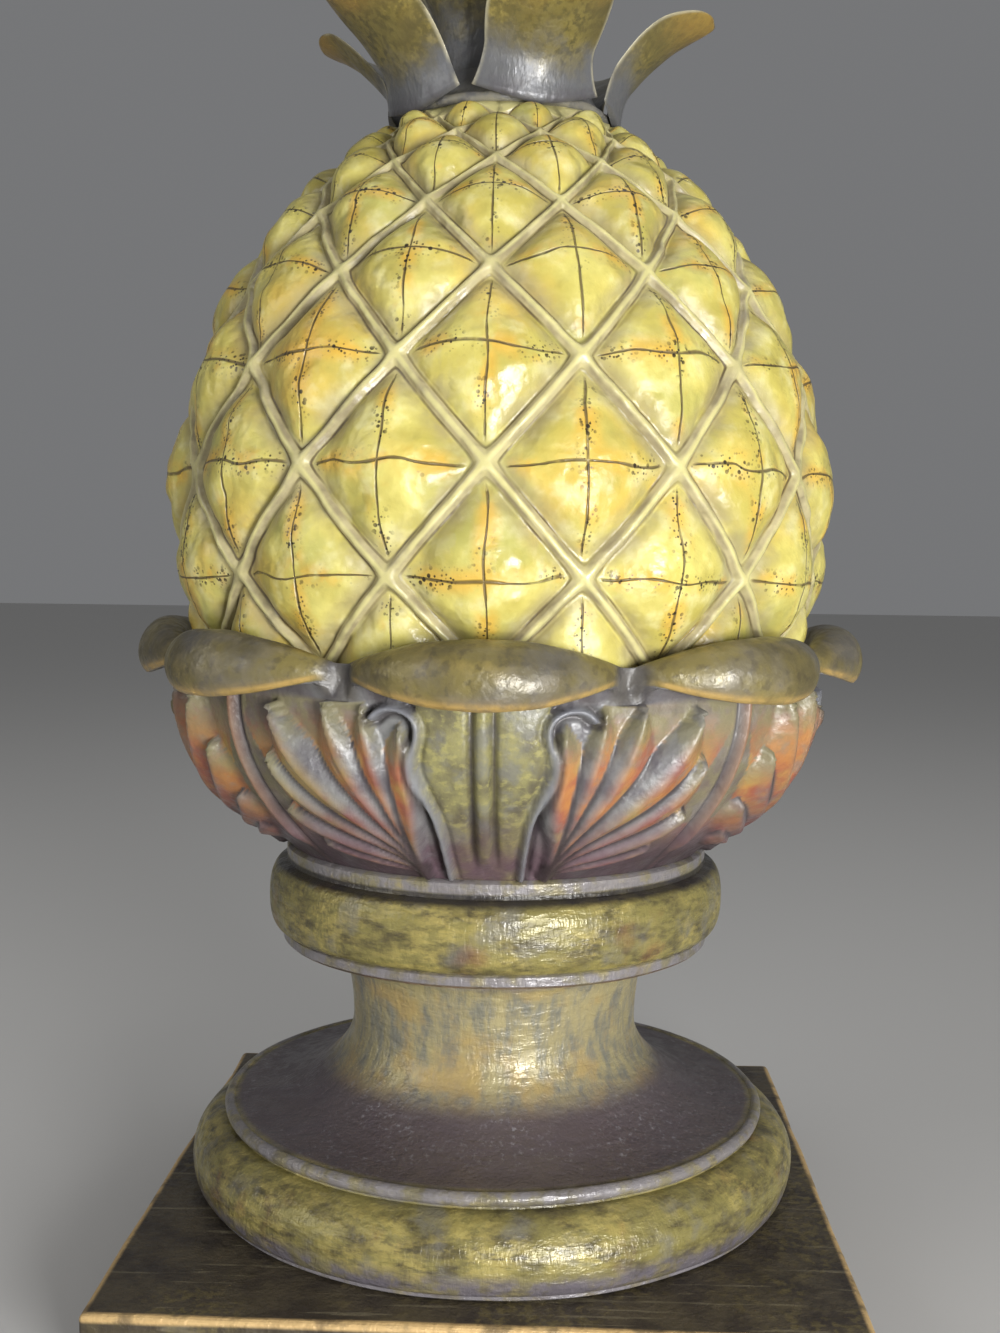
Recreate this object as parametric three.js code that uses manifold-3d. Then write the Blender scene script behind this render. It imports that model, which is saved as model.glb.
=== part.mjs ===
// Pineapple statue: a square plinth, a turned pedestal with a cup of leaves, the fruit and its crown.
// Millimetres, +Z up, origin at the middle of the plinth's underside, front towards -Y.
import * as THREE from 'three';
import { mergeVertices } from 'three/addons/utils/BufferGeometryUtils.js';
import Module from 'manifold-3d';

const wasm = await Module();
wasm.setup();

// Joints between the separately cast pieces
const jointGap = 0.3;
const socketClearance = 0.8;

// Plinth
const plinthThickness = 16;
const plinthMargin = 6.3;
const plinthEdge = 1.4;

// Pedestal: radii and heights of its turned members, from the bottom up
const footRadius = 70.2;
const footFilletInset = 2.6;
const footFilletHeight = 1.2;
const footLowerRound = 6;
const footUpperRound = 9;
const beadRadius = 62.6;
const beadHeight = 3.3;
const dishInset = 2;
const neckRadius = 33.2;
const scotiaHeight = 18.6;
const neckTopFlare = 3;
const neckTopHeight = 18.6;
const collarFilletRadius = 49.5;
const collarFilletHeight = 3.2;
const collarBulge = 3.2;
const collarHeight = 15;
const collarGroove = 1;
const upperFilletRadius = 48.8;
const upperFilletHeight = 3.2;
const turnedSides = 32;

// Leaf cup: a bowl whose plain leaves roll outward at the top into broad lips
const leafCount = 8;
const cupFootRadius = 47.6;
const cupDepth = 38.1;
const cupRimWall = 5.6;
const lipGapAngle = 2;
const lipReach = 11.3;
const lipRise = 13;
const lipEdgeRise = 0.3;
const lipThickness = 2.6;
const lipRollShare = 0.63;
const lipFlatShare = 0.6;
const lipGapBead = 0.2;
const lipGapRise = 0.45;
const lipTaper = 0.9;
const ribWidth = 2.2;
const ribRise = 1.6;

// Acanthus fans on the cup: half leaves rooted beside every second plain leaf
const fanRootAngle = 14.5;
const fanRootRise = 3;
const lobeCount = 5;
const firstLobeLean = 4;
const lobeSpread = 13.5;
const lobeTopGap = 1.5;
const lobeRibGap = 3.2;
const lobeHalfWidth = 5.2;
const lobeRise = 2.4;
const lobeStartLean = 0.55;
const lobeBendShare = 0.4;
const carvingSink = 1.6;

// Fruit: an upper and a lower half-outline that meet at its widest level, under a lattice of straps
const fruitRadius = 75.3;
const fruitEquatorRise = 38;
const fruitUpperHeight = 93.7;
const fruitLowerHeight = 80;
const fruitSeatDepth = 18;
const shoulderPower = 1.844;
const fullnessPower = 1.775;
const latticeColumns = 12;
const latticeRows = 8;
const latticeFootRise = 3.4;
const latticeTopRadius = 27.5;
const pillowRise = 3;
const crestShare = 0.62;
const crestDepth = 0.8;

// Crown: rings of broad leaves round a small core
const crownFootRadius = 24.3;
const crownFootHeight = 3.4;
const crownCoreHeight = 46;
const crownCoreTip = 4;
const crownLeafThickness = 3;
const crownLeafCurl = 0.24;
const crownLeafWidest = 0.55;
const frontLeafSpread = 12;
const outerLeaves = {
  count: 6, turn: 19, foot: 21.5, lift: 1.5, length: 33.8, width: 22, belly: 27, lean: 38, arch: 77,
};
const middleLeaves = {
  count: 6, turn: -30, foot: 13, lift: 9, length: 48, width: 12, belly: 24, lean: 22, arch: 62,
};
const innerLeaves = {
  count: 5, turn: 0, foot: 7, lift: 22, length: 52, width: 8, belly: 19, lean: 9, arch: 38,
};
const heartLeaves = {
  count: 3, turn: 25, foot: 3, lift: 38, length: 53, width: 5, belly: 12, lean: 3, arch: 16,
};

// Heights and radii that follow from the sizes above
const plinthWidth = 2 * (footRadius + plinthMargin);
const footZ = plinthThickness + jointGap;
const footWidestZ = footZ + footFilletHeight + footLowerRound;
const beadZ = footWidestZ + footUpperRound;
const dishZ = beadZ + beadHeight;
const neckZ = dishZ + scotiaHeight;
const collarFilletZ = neckZ + neckTopHeight;
const collarZ = collarFilletZ + collarFilletHeight;
const upperFilletZ = collarZ + collarHeight + collarGroove;
const cupZ = upperFilletZ + upperFilletHeight;
const rimZ = cupZ + cupDepth;
const equatorZ = rimZ + fruitEquatorRise;
const fruitSeatZ = rimZ - fruitSeatDepth;
const latticeFootZ = rimZ + latticeFootRise;
const latticeTopZ = fruitHeight(latticeTopRadius);
const fruitTopZ = fruitHeight(crownFootRadius);
const crownZ = fruitTopZ + jointGap;
const rimRadius = fruitOutline(rimZ) + socketClearance + cupRimWall;
const leafStep = 360 / leafCount;

// Outer radius over the fruit's pillows at a height
function fruitOutline(z) {
  if (z < equatorZ) return fruitRadius * Math.sqrt(1 - ((equatorZ - z) / fruitLowerHeight) ** 2);
  const share = (z - equatorZ) / fruitUpperHeight;
  return fruitRadius * Math.max(1 - share ** shoulderPower, 0) ** (1 / fullnessPower);
}

// Height at which the fruit's upper outline has shrunk to a radius
function fruitHeight(r) {
  const share = (1 - (r / fruitRadius) ** fullnessPower) ** (1 / shoulderPower);
  return equatorZ + fruitUpperHeight * share;
}

// Outer radius of the cup's bowl at a height
function bowlOutline(z) {
  const up = Math.min((z - cupZ) / cupDepth, 1);
  return rimRadius - (rimRadius - cupFootRadius) * (1 - up) ** 2;
}

const radians = THREE.MathUtils.degToRad;

// The point at radius r and height z, with its angle measured from the front (-Y) towards +X
function place(r, angle, z) {
  return new THREE.Vector3(r * Math.sin(radians(angle)), -r * Math.cos(radians(angle)), z);
}

function addQuad(faces, a, b, c, d) {
  faces.push([a, b, c], [a, c, d]);
}

// Closed geometry from loose triangles; faces that shrink to a line at a pole are dropped
function closedGeometry(faces) {
  const corners = new Float32Array(faces.length * 9);
  faces.forEach((face, i) => face.forEach((point, j) => point.toArray(corners, i * 9 + j * 3)));
  const loose = new THREE.BufferGeometry();
  loose.setAttribute('position', new THREE.BufferAttribute(corners, 3));
  const merged = mergeVertices(loose, 1e-3);
  const all = merged.getIndex().array;
  const kept = [];
  for (let i = 0; i < all.length; i += 3) {
    const [a, b, c] = [all[i], all[i + 1], all[i + 2]];
    if (a !== b && b !== c && c !== a) kept.push(a, b, c);
  }
  merged.setIndex(kept);
  merged.computeVertexNormals();
  return merged;
}

// Skin over a row of closed sections with the same number of points, with both ends closed
function loft(sections) {
  const faces = [];
  for (let i = 0; i + 1 < sections.length; i += 1) {
    const [near, far] = [sections[i], sections[i + 1]];
    near.forEach((point, j) => {
      const k = (j + 1) % near.length;
      addQuad(faces, point, near[k], far[k], far[j]);
    });
  }
  const [first, last] = [sections[0], sections[sections.length - 1]];
  for (let j = 1; j + 1 < first.length; j += 1) {
    faces.push([first[0], first[j + 1], first[j]]);
    faces.push([last[0], last[j], last[j + 1]]);
  }
  return closedGeometry(faces);
}

function toSolid(geometry) {
  const mesh = new wasm.Mesh({
    numProp: 3,
    vertProperties: new Float32Array(geometry.getAttribute('position').array),
    triVerts: new Uint32Array(geometry.getIndex().array),
  });
  return new wasm.Manifold(mesh);
}

function toGeometry(solid) {
  const mesh = solid.getMesh();
  const geometry = new THREE.BufferGeometry();
  geometry.setAttribute('position', new THREE.BufferAttribute(new Float32Array(mesh.vertProperties), 3));
  geometry.setIndex([...mesh.triVerts]);
  geometry.computeVertexNormals();
  return geometry;
}

// A turned solid from an outline of [radius, height] pairs that starts and ends on the axis
function turned(outline, sides) {
  const lathe = new THREE.LatheGeometry(outline.map(([r, z]) => new THREE.Vector2(r, z)), sides);
  lathe.rotateX(Math.PI / 2);
  const corners = lathe.toNonIndexed().getAttribute('position');
  const faces = [];
  for (let i = 0; i < corners.count; i += 3) {
    faces.push([0, 1, 2].map((j) => new THREE.Vector3().fromBufferAttribute(corners, i + j)));
  }
  return closedGeometry(faces);
}

function buildPlinth() {
  const half = plinthWidth / 2 - plinthEdge;
  const outline = new THREE.Shape([
    new THREE.Vector2(-half, -half),
    new THREE.Vector2(half, -half),
    new THREE.Vector2(half, half),
    new THREE.Vector2(-half, half),
  ]);
  const slab = new THREE.ExtrudeGeometry(outline, {
    depth: plinthThickness - 2 * plinthEdge,
    bevelThickness: plinthEdge,
    bevelSize: plinthEdge,
    bevelSegments: 2,
  });
  slab.translate(0, 0, plinthEdge);
  return slab;
}

// The turned foot, neck and collar, up to where the cup grows out of them
function turnedOutline() {
  const filletRadius = footRadius - footFilletInset;
  const outline = [[0, footZ], [filletRadius, footZ], [filletRadius, footZ + footFilletHeight]];
  for (const share of [0.45, 1]) {
    const bulge = Math.sqrt(1 - (1 - share) ** 2);
    outline.push([filletRadius + footFilletInset * bulge, footZ + footFilletHeight + footLowerRound * share]);
  }
  for (const angle of [35, 65, 90]) {
    const inward = (footRadius - beadRadius) * (1 - Math.cos(radians(angle)));
    outline.push([footRadius - inward, footWidestZ + footUpperRound * Math.sin(radians(angle))]);
  }
  const dishRadius = beadRadius - dishInset;
  outline.push([beadRadius, dishZ], [dishRadius, dishZ]);
  for (const angle of [30, 52, 72, 90]) {
    const inward = (dishRadius - neckRadius) * Math.sin(radians(angle));
    outline.push([dishRadius - inward, neckZ - scotiaHeight * Math.cos(radians(angle))]);
  }
  outline.push([neckRadius + neckTopFlare * 0.4, neckZ + neckTopHeight * 0.6]);
  outline.push([neckRadius + neckTopFlare, neckZ + neckTopHeight * 0.93]);
  outline.push([neckRadius + 2 * neckTopFlare, collarFilletZ]);
  outline.push([collarFilletRadius, collarFilletZ], [collarFilletRadius, collarZ]);
  for (const share of [0.1, 0.35, 0.65, 0.9]) {
    const bulge = (1 - Math.abs(2 * share - 1) ** 2.4) ** (1 / 2.4);
    outline.push([collarFilletRadius + collarBulge * bulge, collarZ + collarHeight * share]);
  }
  outline.push([collarFilletRadius, collarZ + collarHeight], [upperFilletRadius, upperFilletZ]);
  outline.push([upperFilletRadius, cupZ], [0, cupZ]);
  return outline;
}

// How far the lip has rolled out at an angle from its leaf's middle: 1 there, 0 between two leaves
function lipShare(offset) {
  const across = Math.min(Math.abs(offset) / (leafStep / 2 - lipGapAngle), 1);
  return Math.max(Math.cos((across * Math.PI) / 2), 0) ** lipTaper;
}

// The rolled lip and its thin edge as [radius, height] pairs, from the wall outside to the socket's mouth
function lipOutline(share) {
  const [reach, rise] = [lipReach * lipRollShare, lipRise * lipFlatShare];
  const [middleR, middleZ] = [rimRadius + lipReach - reach, rimZ + lipRise - rise];
  const edge = -THREE.MathUtils.radToDeg(Math.asin((middleZ - rimZ - lipEdgeRise) / rise));
  const onRoll = (angle, depth) => {
    const r = middleR + (reach - depth) * Math.cos(radians(angle));
    return [r, middleZ + (rise - depth) * Math.sin(radians(angle))];
  };
  const rolled = [[rimRadius, rimZ + lipRise * lipGapBead]];
  rolled.push(...[85, edge].map((angle) => onRoll(angle, lipThickness)));
  rolled.push(...[edge, 5, 45, 85, 125].map((angle) => onRoll(angle, 0)));
  const restZ = rimZ + lipRise * lipGapRise;
  const restR = fruitOutline(restZ) + socketClearance + reach * lipGapBead;
  return rolled.map(([r, z]) => {
    const [gapR, gapZ] = [restR + (r - middleR) * lipGapBead, restZ + (z - middleZ) * lipGapBead];
    return [gapR + (r - gapR) * share, gapZ + (z - gapZ) * share];
  });
}

// One upright section of the cup, from the axis below, round the lip and back to the axis in the socket
function cupSection(offset) {
  const buriedZ = cupZ - upperFilletHeight / 2;
  const section = [[0, buriedZ], [cupFootRadius - 1.5, buriedZ]];
  for (const share of [0, 0.26, 0.58, 1]) {
    const z = cupZ + cupDepth * share;
    section.push([bowlOutline(z), z]);
  }
  section.push(...lipOutline(lipShare(offset)));
  section.push([fruitOutline(latticeFootZ) + socketClearance, latticeFootZ]);
  section.push([fruitOutline(fruitSeatZ) + socketClearance, fruitSeatZ - jointGap]);
  section.push([0, fruitSeatZ - jointGap]);
  return section;
}

function buildCup() {
  const stations = [];
  for (let leaf = 0; leaf < leafCount; leaf += 1) {
    for (const share of [-1, -0.82, -0.48, 0, 0.48, 0.82]) {
      const offset = (share * leafStep) / 2;
      stations.push(cupSection(offset).map(([r, z]) => place(r, leaf * leafStep + offset, z)));
    }
  }
  const faces = [];
  stations.forEach((near, i) => {
    const far = stations[(i + 1) % stations.length];
    for (let j = 0; j + 1 < near.length; j += 1) addQuad(faces, near[j], far[j], far[j + 1], near[j + 1]);
  });
  return closedGeometry(faces);
}

// Distance up the bowl's outer surface from the fans' root to a height
function bowlArc(z) {
  const steps = 24;
  const from = cupZ + fanRootRise;
  let length = 0;
  for (let i = 0; i < steps; i += 1) {
    const [a, b] = [from + ((z - from) * i) / steps, from + ((z - from) * (i + 1)) / steps];
    length += Math.sign(z - from) * Math.hypot(bowlOutline(b) - bowlOutline(a), b - a);
  }
  return length;
}

// The height that lies a distance up the bowl's outer surface
function bowlHeight(length) {
  let [low, high] = [cupZ, rimZ + lipRise];
  for (let i = 0; i < 30; i += 1) {
    const middle = (low + high) / 2;
    if (bowlArc(middle) < length) low = middle;
    else high = middle;
  }
  return (low + high) / 2;
}

// Carving raised on the bowl: its path runs in the unrolled surface, x across and y up, in millimetres
function raised(path, halfWidths, rises, side, rootAngle) {
  const sections = path.map((point, i) => {
    const before = path[Math.max(i - 1, 0)];
    const after = path[Math.min(i + 1, path.length - 1)];
    const along = new THREE.Vector2().subVectors(after, before).normalize();
    const across = new THREE.Vector2(along.y, -along.x);
    const corner = (out, lift) => {
      const spot = point.clone().addScaledVector(across, out * halfWidths[i]);
      const z = bowlHeight(spot.y);
      const r = bowlOutline(z);
      const slope = bowlOutline(z + 0.5) - bowlOutline(z - 0.5);
      const normal = new THREE.Vector2(1, -slope).normalize();
      const angle = rootAngle + side * THREE.MathUtils.radToDeg(spot.x / r);
      return place(r + lift * normal.x, angle, z + lift * normal.y);
    };
    const loop = [
      corner(-1, -carvingSink),
      corner(-0.6, rises[i]),
      corner(0.6, rises[i]),
      corner(1, -carvingSink),
    ];
    return side > 0 ? loop : loop.reverse();
  });
  return toSolid(loft(sections));
}

// Lobe i of a fan: it leaves the root steeply and bends out to the lip or to the next leaf's rib
function fanLobe(i, side, rootAngle) {
  const topY = bowlArc(rimZ) - lobeTopGap;
  const ribX = radians(leafStep - fanRootAngle) * rimRadius * 0.92 - lobeRibGap;
  const lean = radians(firstLobeLean + lobeSpread * i);
  const length = Math.min(topY / Math.cos(lean), ribX / Math.sin(lean));
  const bendLength = lobeBendShare * length;
  const startLean = lobeStartLean * lean;
  const curve = new THREE.QuadraticBezierCurve(
    new THREE.Vector2(0, 0),
    new THREE.Vector2(bendLength * Math.sin(startLean), bendLength * Math.cos(startLean)),
    new THREE.Vector2(length * Math.sin(lean), length * Math.cos(lean)),
  );
  const path = [0.3, 0.7, 1].map((share) => curve.getPoint(share));
  const full = lobeHalfWidth * Math.min(length / topY, 1.15);
  const widths = [0.36, 1, 0.5].map((share) => share * full);
  const rises = [0.4, 1, 0.7].map((share) => share * lobeRise);
  return raised(path, widths, rises, side, rootAngle);
}

// The rib down the middle of a plain leaf
function leafRib(angle) {
  const top = bowlArc(rimZ);
  const path = [0.02, 0.5, 0.98].map((share) => new THREE.Vector2(0, top * share));
  const widths = [0.7, 0.9, 1].map((share) => share * ribWidth);
  return raised(path, widths, [ribRise, ribRise, ribRise], 1, angle);
}

function buildPedestal() {
  let body = toSolid(turned(turnedOutline(), turnedSides)).add(toSolid(buildCup()));
  for (let leaf = 0; leaf < leafCount; leaf += 1) {
    const angle = leaf * leafStep;
    body = body.add(leafRib(angle));
    for (let i = 0; i < lobeCount && leaf % 2 === 0; i += 1) {
      body = body.add(fanLobe(i, 1, angle + fanRootAngle));
      body = body.add(fanLobe(i, -1, angle - fanRootAngle));
    }
  }
  return toGeometry(body);
}

// Heights of the lattice's crossing rows: their spacing shrinks with the fruit's radius
function latticeLevels() {
  const steps = 400;
  const marks = [[latticeFootZ, 0]];
  for (let i = 1; i <= steps; i += 1) {
    const [low, total] = marks[i - 1];
    const high = latticeFootZ + ((latticeTopZ - latticeFootZ) * i) / steps;
    const arc = Math.hypot(fruitOutline(high) - fruitOutline(low), high - low);
    marks.push([high, total + arc / fruitOutline((low + high) / 2)]);
  }
  return (row) => {
    const wanted = (marks[steps][1] * row) / latticeRows;
    const i = Math.max(marks.findIndex((mark) => mark[1] >= wanted - 1e-9), 1);
    const [[lowZ, lowSum], [highZ, highSum]] = [marks[i - 1], marks[i]];
    return lowZ + ((highZ - lowZ) * (wanted - lowSum)) / (highSum - lowSum);
  };
}

const latticeLevel = latticeLevels();

// A point on the fruit: its angle, its lattice row and its depth under the tops of the pillows
function fruitPoint(angle, row, depth) {
  const z = latticeLevel(row);
  const slope = fruitOutline(z + 0.5) - fruitOutline(z - 0.5);
  const edgeRow = row === 0 || row === latticeRows;
  const normal = new THREE.Vector2(1, edgeRow ? 0 : -slope).normalize();
  return place(fruitOutline(z) - depth * normal.x, angle, z - depth * normal.y);
}

// One pillow between four straps, or the half of it that shows in the first and the last row
function addPillow(faces, angle, row) {
  const halfColumn = 180 / latticeColumns;
  const spot = (x, y, depth) => fruitPoint(angle + x * halfColumn, row + y, depth);
  const corners = [[1, 0], [0, 1], [-1, 0], [0, -1]];
  corners.forEach(([x, y], i) => {
    const [nextX, nextY] = corners[(i + 1) % corners.length];
    if ((i < 2 && row === latticeRows) || (i > 1 && row === 0)) return;
    const inner = spot(x * crestShare, y * crestShare, crestDepth);
    const innerNext = spot(nextX * crestShare, nextY * crestShare, crestDepth);
    const strap = spot((x + nextX) / 2, (y + nextY) / 2, pillowRise);
    faces.push([inner, spot(x, y, pillowRise), strap]);
    faces.push([inner, strap, innerNext]);
    faces.push([innerNext, strap, spot(nextX, nextY, pillowRise)]);
    faces.push([spot(0, 0, 0), inner, innerNext]);
  });
}

function buildFruit() {
  const faces = [];
  const column = 360 / latticeColumns;
  for (let row = 0; row <= latticeRows; row += 1) {
    for (let i = 0; i < latticeColumns; i += 1) addPillow(faces, (i + ((row + 1) % 2) / 2) * column, row);
  }
  // The flat top under the crown, and the smooth end inside the cup
  const crest = [crestShare, crestDepth];
  const edge = [[-1, pillowRise], [-crest[0], crest[1]], [0, 0], crest, [1, pillowRise]];
  for (let i = 0; i < latticeColumns; i += 1) {
    for (let j = 0; j + 1 < edge.length; j += 1) {
      const band = [edge[j], edge[j + 1]].map(([share, depth]) => {
        const low = (i + 0.5 + share / 2) * column;
        const high = low + ((latticeRows % 2) / 2) * column;
        const seat = place(fruitOutline(fruitSeatZ), low, fruitSeatZ);
        const top = place(crownFootRadius, high, fruitTopZ);
        return [seat, fruitPoint(low, 0, depth), fruitPoint(high, latticeRows, depth), top];
      });
      const [[seatA, rimA, shoulderA, topA], [seatB, rimB, shoulderB, topB]] = band;
      faces.push([new THREE.Vector3(0, 0, fruitSeatZ), seatB, seatA]);
      addQuad(faces, seatA, seatB, rimB, rimA);
      addQuad(faces, shoulderA, shoulderB, topB, topA);
      faces.push([new THREE.Vector3(0, 0, fruitTopZ), topA, topB]);
    }
  }
  return closedGeometry(faces);
}

// A broad leaf that leans, then arches outward, with its edges turned up like a shallow gutter
function crownLeaf(leaf, angle, stations) {
  const sections = [];
  const sideways = new THREE.Vector3(Math.cos(radians(angle)), Math.sin(radians(angle)), 0);
  let [r, z] = [leaf.foot, crownZ + leaf.lift];
  for (let i = 0; i <= stations; i += 1) {
    const share = i / stations;
    const bend = radians(leaf.lean + (leaf.arch - leaf.lean) * share ** 2);
    if (i > 0) {
      r += (leaf.length / stations) * Math.sin(bend);
      z += (leaf.length / stations) * Math.cos(bend);
    }
    const swell = THREE.MathUtils.smoothstep(share, 0, crownLeafWidest) * (leaf.belly - leaf.width);
    const closing = Math.sqrt(1.02 - Math.max((share - crownLeafWidest) / (1 - crownLeafWidest), 0) ** 2);
    const half = ((leaf.width + swell) / 2) * closing;
    const thick = crownLeafThickness * (1 - 0.4 * share);
    const corner = (x, face) => {
      const lift = -crownLeafCurl * half * x * x + (face * thick * (1 - 0.4 * x * x)) / 2;
      const middle = place(r + lift * Math.cos(bend), angle, z - lift * Math.sin(bend));
      return middle.addScaledVector(sideways, x * half);
    };
    sections.push([corner(-1, 1), corner(0, 1), corner(1, 1), corner(1, -1), corner(0, -1), corner(-1, -1)]);
  }
  return toSolid(loft(sections));
}

function buildCrown() {
  let body = toSolid(turned([
    [0, crownZ],
    [crownFootRadius, crownZ],
    [crownFootRadius, crownZ + crownFootHeight / 2],
    [crownFootRadius * 0.9, crownZ + crownFootHeight],
    [crownFootRadius * 0.5, crownZ + crownCoreHeight / 2],
    [crownCoreTip, crownZ + crownCoreHeight],
    [0, crownZ + crownCoreHeight],
  ], 12));
  [outerLeaves, middleLeaves, innerLeaves, heartLeaves].forEach((leaf, ring) => {
    for (let i = 0; i < leaf.count; i += 1) {
      const around = (i * 360) / leaf.count;
      // The lowest leaves stand a little farther apart beside the front one than at the back
      const spread = ring === 0 ? frontLeafSpread * Math.sin(radians(around)) : 0;
      body = body.add(crownLeaf(leaf, leaf.turn + around + spread, ring < 2 ? 4 : 3));
    }
  });
  return toGeometry(body);
}

function addPiece(group, name, geometry, color, roughness, metalness) {
  const material = new THREE.MeshStandardMaterial({ color, roughness, metalness });
  const piece = new THREE.Mesh(geometry, material);
  piece.name = name;
  group.add(piece);
}

const pineapple = new THREE.Group();
addPiece(pineapple, 'plinth', buildPlinth(), 0x3b2f2c, 0.6, 0.25);
addPiece(pineapple, 'pedestal', buildPedestal(), 0x6d6233, 0.45, 0.35);
addPiece(pineapple, 'fruit', buildFruit(), 0xcdb45a, 0.55, 0);
addPiece(pineapple, 'crown', buildCrown(), 0x6f6428, 0.45, 0.35);

export default pineapple;
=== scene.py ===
# %% [markdown]
# # Pineapple statue
# A cast resin finial, painted by hand: a square plinth, a turned pedestal that opens into a carved
# cup of curled leaves, the yellow fruit, and its crown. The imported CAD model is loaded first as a
# fixed frame. Each fine piece below then takes the place of the plain solid that it stands for.

# %% Load the frame
import math

import bpy
import numpy as np
from mathutils import Matrix, Vector


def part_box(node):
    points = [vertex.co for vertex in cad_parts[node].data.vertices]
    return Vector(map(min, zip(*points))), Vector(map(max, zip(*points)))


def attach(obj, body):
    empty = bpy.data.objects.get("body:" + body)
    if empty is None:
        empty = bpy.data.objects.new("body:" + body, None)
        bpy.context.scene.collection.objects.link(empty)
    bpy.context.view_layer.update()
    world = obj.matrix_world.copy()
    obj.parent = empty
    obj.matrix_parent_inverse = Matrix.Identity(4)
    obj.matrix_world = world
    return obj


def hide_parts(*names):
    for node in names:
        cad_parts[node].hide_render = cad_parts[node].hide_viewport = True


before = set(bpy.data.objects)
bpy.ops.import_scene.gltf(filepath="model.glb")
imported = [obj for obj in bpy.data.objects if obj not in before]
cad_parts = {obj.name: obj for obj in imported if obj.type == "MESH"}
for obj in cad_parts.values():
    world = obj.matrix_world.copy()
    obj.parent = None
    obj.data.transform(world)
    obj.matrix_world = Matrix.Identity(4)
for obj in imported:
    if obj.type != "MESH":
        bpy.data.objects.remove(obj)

scene = bpy.context.scene
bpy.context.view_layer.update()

# %% [markdown]
# ## Units and places
# Blender works in metres, but every size below is in millimetres, and each mesh is turned into
# metres when its points are set. The heights where the castings meet come from the frame, so they
# can't drift away from the solids.

# %% Heights taken from the frame
mm = 0.001
plinth_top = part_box("plinth")[1].z / mm
plinth_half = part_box("plinth")[1].x / mm
foot_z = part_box("pedestal")[0].z / mm
fruit_seat_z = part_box("fruit")[0].z / mm
fruit_top_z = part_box("fruit")[1].z / mm
crown_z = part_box("crown")[0].z / mm
print(f"plinth {plinth_top:.1f}, foot {foot_z:.1f}, fruit {fruit_seat_z:.1f} to {fruit_top_z:.1f} mm")

# %% [markdown]
# ## Camera
# The photo was taken from close by, so its perspective is strong. The camera stands 350 mm from
# the statue's axis, a little to its right, and looks slightly down. The lens follows from the focal
# length in pixels of the tall side.

# %% Camera
focal_length_px = 1500
photo_height_px = 1333
camera_reach = 350 * mm
camera_height = 162 * mm
camera_right = math.radians(2.2)
camera_down = math.radians(4.3)
camera_roll = math.radians(0.7)


def place_object(name, data):
    """Puts a new object with this data into the scene."""
    thing = bpy.data.objects.new(name, data)
    scene.collection.objects.link(thing)
    return thing


camera_data = bpy.data.cameras.new("photo_camera")
camera_data.sensor_width = 36
camera_data.lens = focal_length_px * camera_data.sensor_width / photo_height_px
camera_data.shift_x = 0.0015
camera_data.clip_start = 0.01
camera = place_object("photo_camera", camera_data)
turn = Matrix.Rotation(camera_right, 4, "Z")
tilt = Matrix.Rotation(math.pi / 2 - camera_down, 4, "X")
place = Matrix.Translation((0, -camera_reach, camera_height))
camera.matrix_world = turn @ place @ tilt @ Matrix.Rotation(camera_roll, 4, "Z")
scene.camera = camera
print(f"lens {camera_data.lens:.1f} mm")

# %% [markdown]
# ## Mesh helpers
# Most surfaces here are a flat grid that is wrapped round the statue: its x becomes the way round,
# and its y the way along. Its points are read as two shares from 0 to 1, and a function of the
# piece says where each goes. Doubles are merged where the grid meets itself, and the faces are
# turned outward.

# %% Mesh helpers
def select_only(*pieces):
    bpy.ops.object.select_all(action="DESELECT")
    for piece in pieces:
        piece.select_set(True)
        bpy.context.view_layer.objects.active = pieces[0]


def edit_all():
    bpy.ops.object.mode_set(mode="EDIT")
    bpy.ops.mesh.select_all(action="SELECT")


def edit_done():
    bpy.ops.object.mode_set(mode="OBJECT")


def new_piece(name):
    """Names the object that an operator has just made."""
    piece = bpy.context.object
    piece.name = name
    piece.data.name = name
    return piece


def add_grid(name, across, up):
    select_only()
    bpy.ops.mesh.primitive_grid_add(x_subdivisions=across, y_subdivisions=up, size=1)
    return new_piece(name)


def read_points(piece, unit=mm):
    spots = np.empty(len(piece.data.vertices) * 3)
    piece.data.vertices.foreach_get("co", spots)
    return spots.reshape(-1, 3) / unit


def grid_shares(sheet):
    spots = read_points(sheet, 1) + 0.5
    return spots[:, 0], spots[:, 1]


def set_points(sheet, points):
    sheet.data.vertices.foreach_set("co", (points * mm).astype(np.float32).ravel())
    sheet.data.update()


def store(sheet, **masks):
    for name, values in masks.items():
        layer = sheet.data.attributes.new(name, "FLOAT", "POINT")
        layer.data.foreach_set("value", np.ascontiguousarray(values, np.float32))


def close_up(sheet, sharp=180):
    """Merges the seam and the poles, turns the faces outward and smooths the shading."""
    select_only(sheet)
    edit_all()
    bpy.ops.mesh.remove_doubles(threshold=0.01 * mm)
    bpy.ops.mesh.normals_make_consistent(inside=False)
    edit_done()
    if sharp == 180:
        bpy.ops.object.shade_smooth()
    else:
        bpy.ops.object.shade_smooth_by_angle(angle=math.radians(sharp))


def join_pieces(name, parts):
    select_only(*parts)
    bpy.ops.object.join()
    return new_piece(name)


# %% Shape helpers
def on_axis(radius, degrees, height):
    """Points at a radius and height; the angle runs from the front (-Y) towards +X."""
    angle = np.radians(degrees)
    return np.stack([radius * np.sin(angle), -radius * np.cos(angle), height], axis=-1)


def smooth(low, high, value):
    share = np.clip((value - low) / (high - low), 0, 1)
    return share * share * (3 - 2 * share)


def bell(distance, width):
    return np.exp(-((distance / width) ** 2))


def running(steps):
    """Length along a path at each of its points, from the steps between them."""
    return np.concatenate([[0], np.cumsum(steps)])


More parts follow.
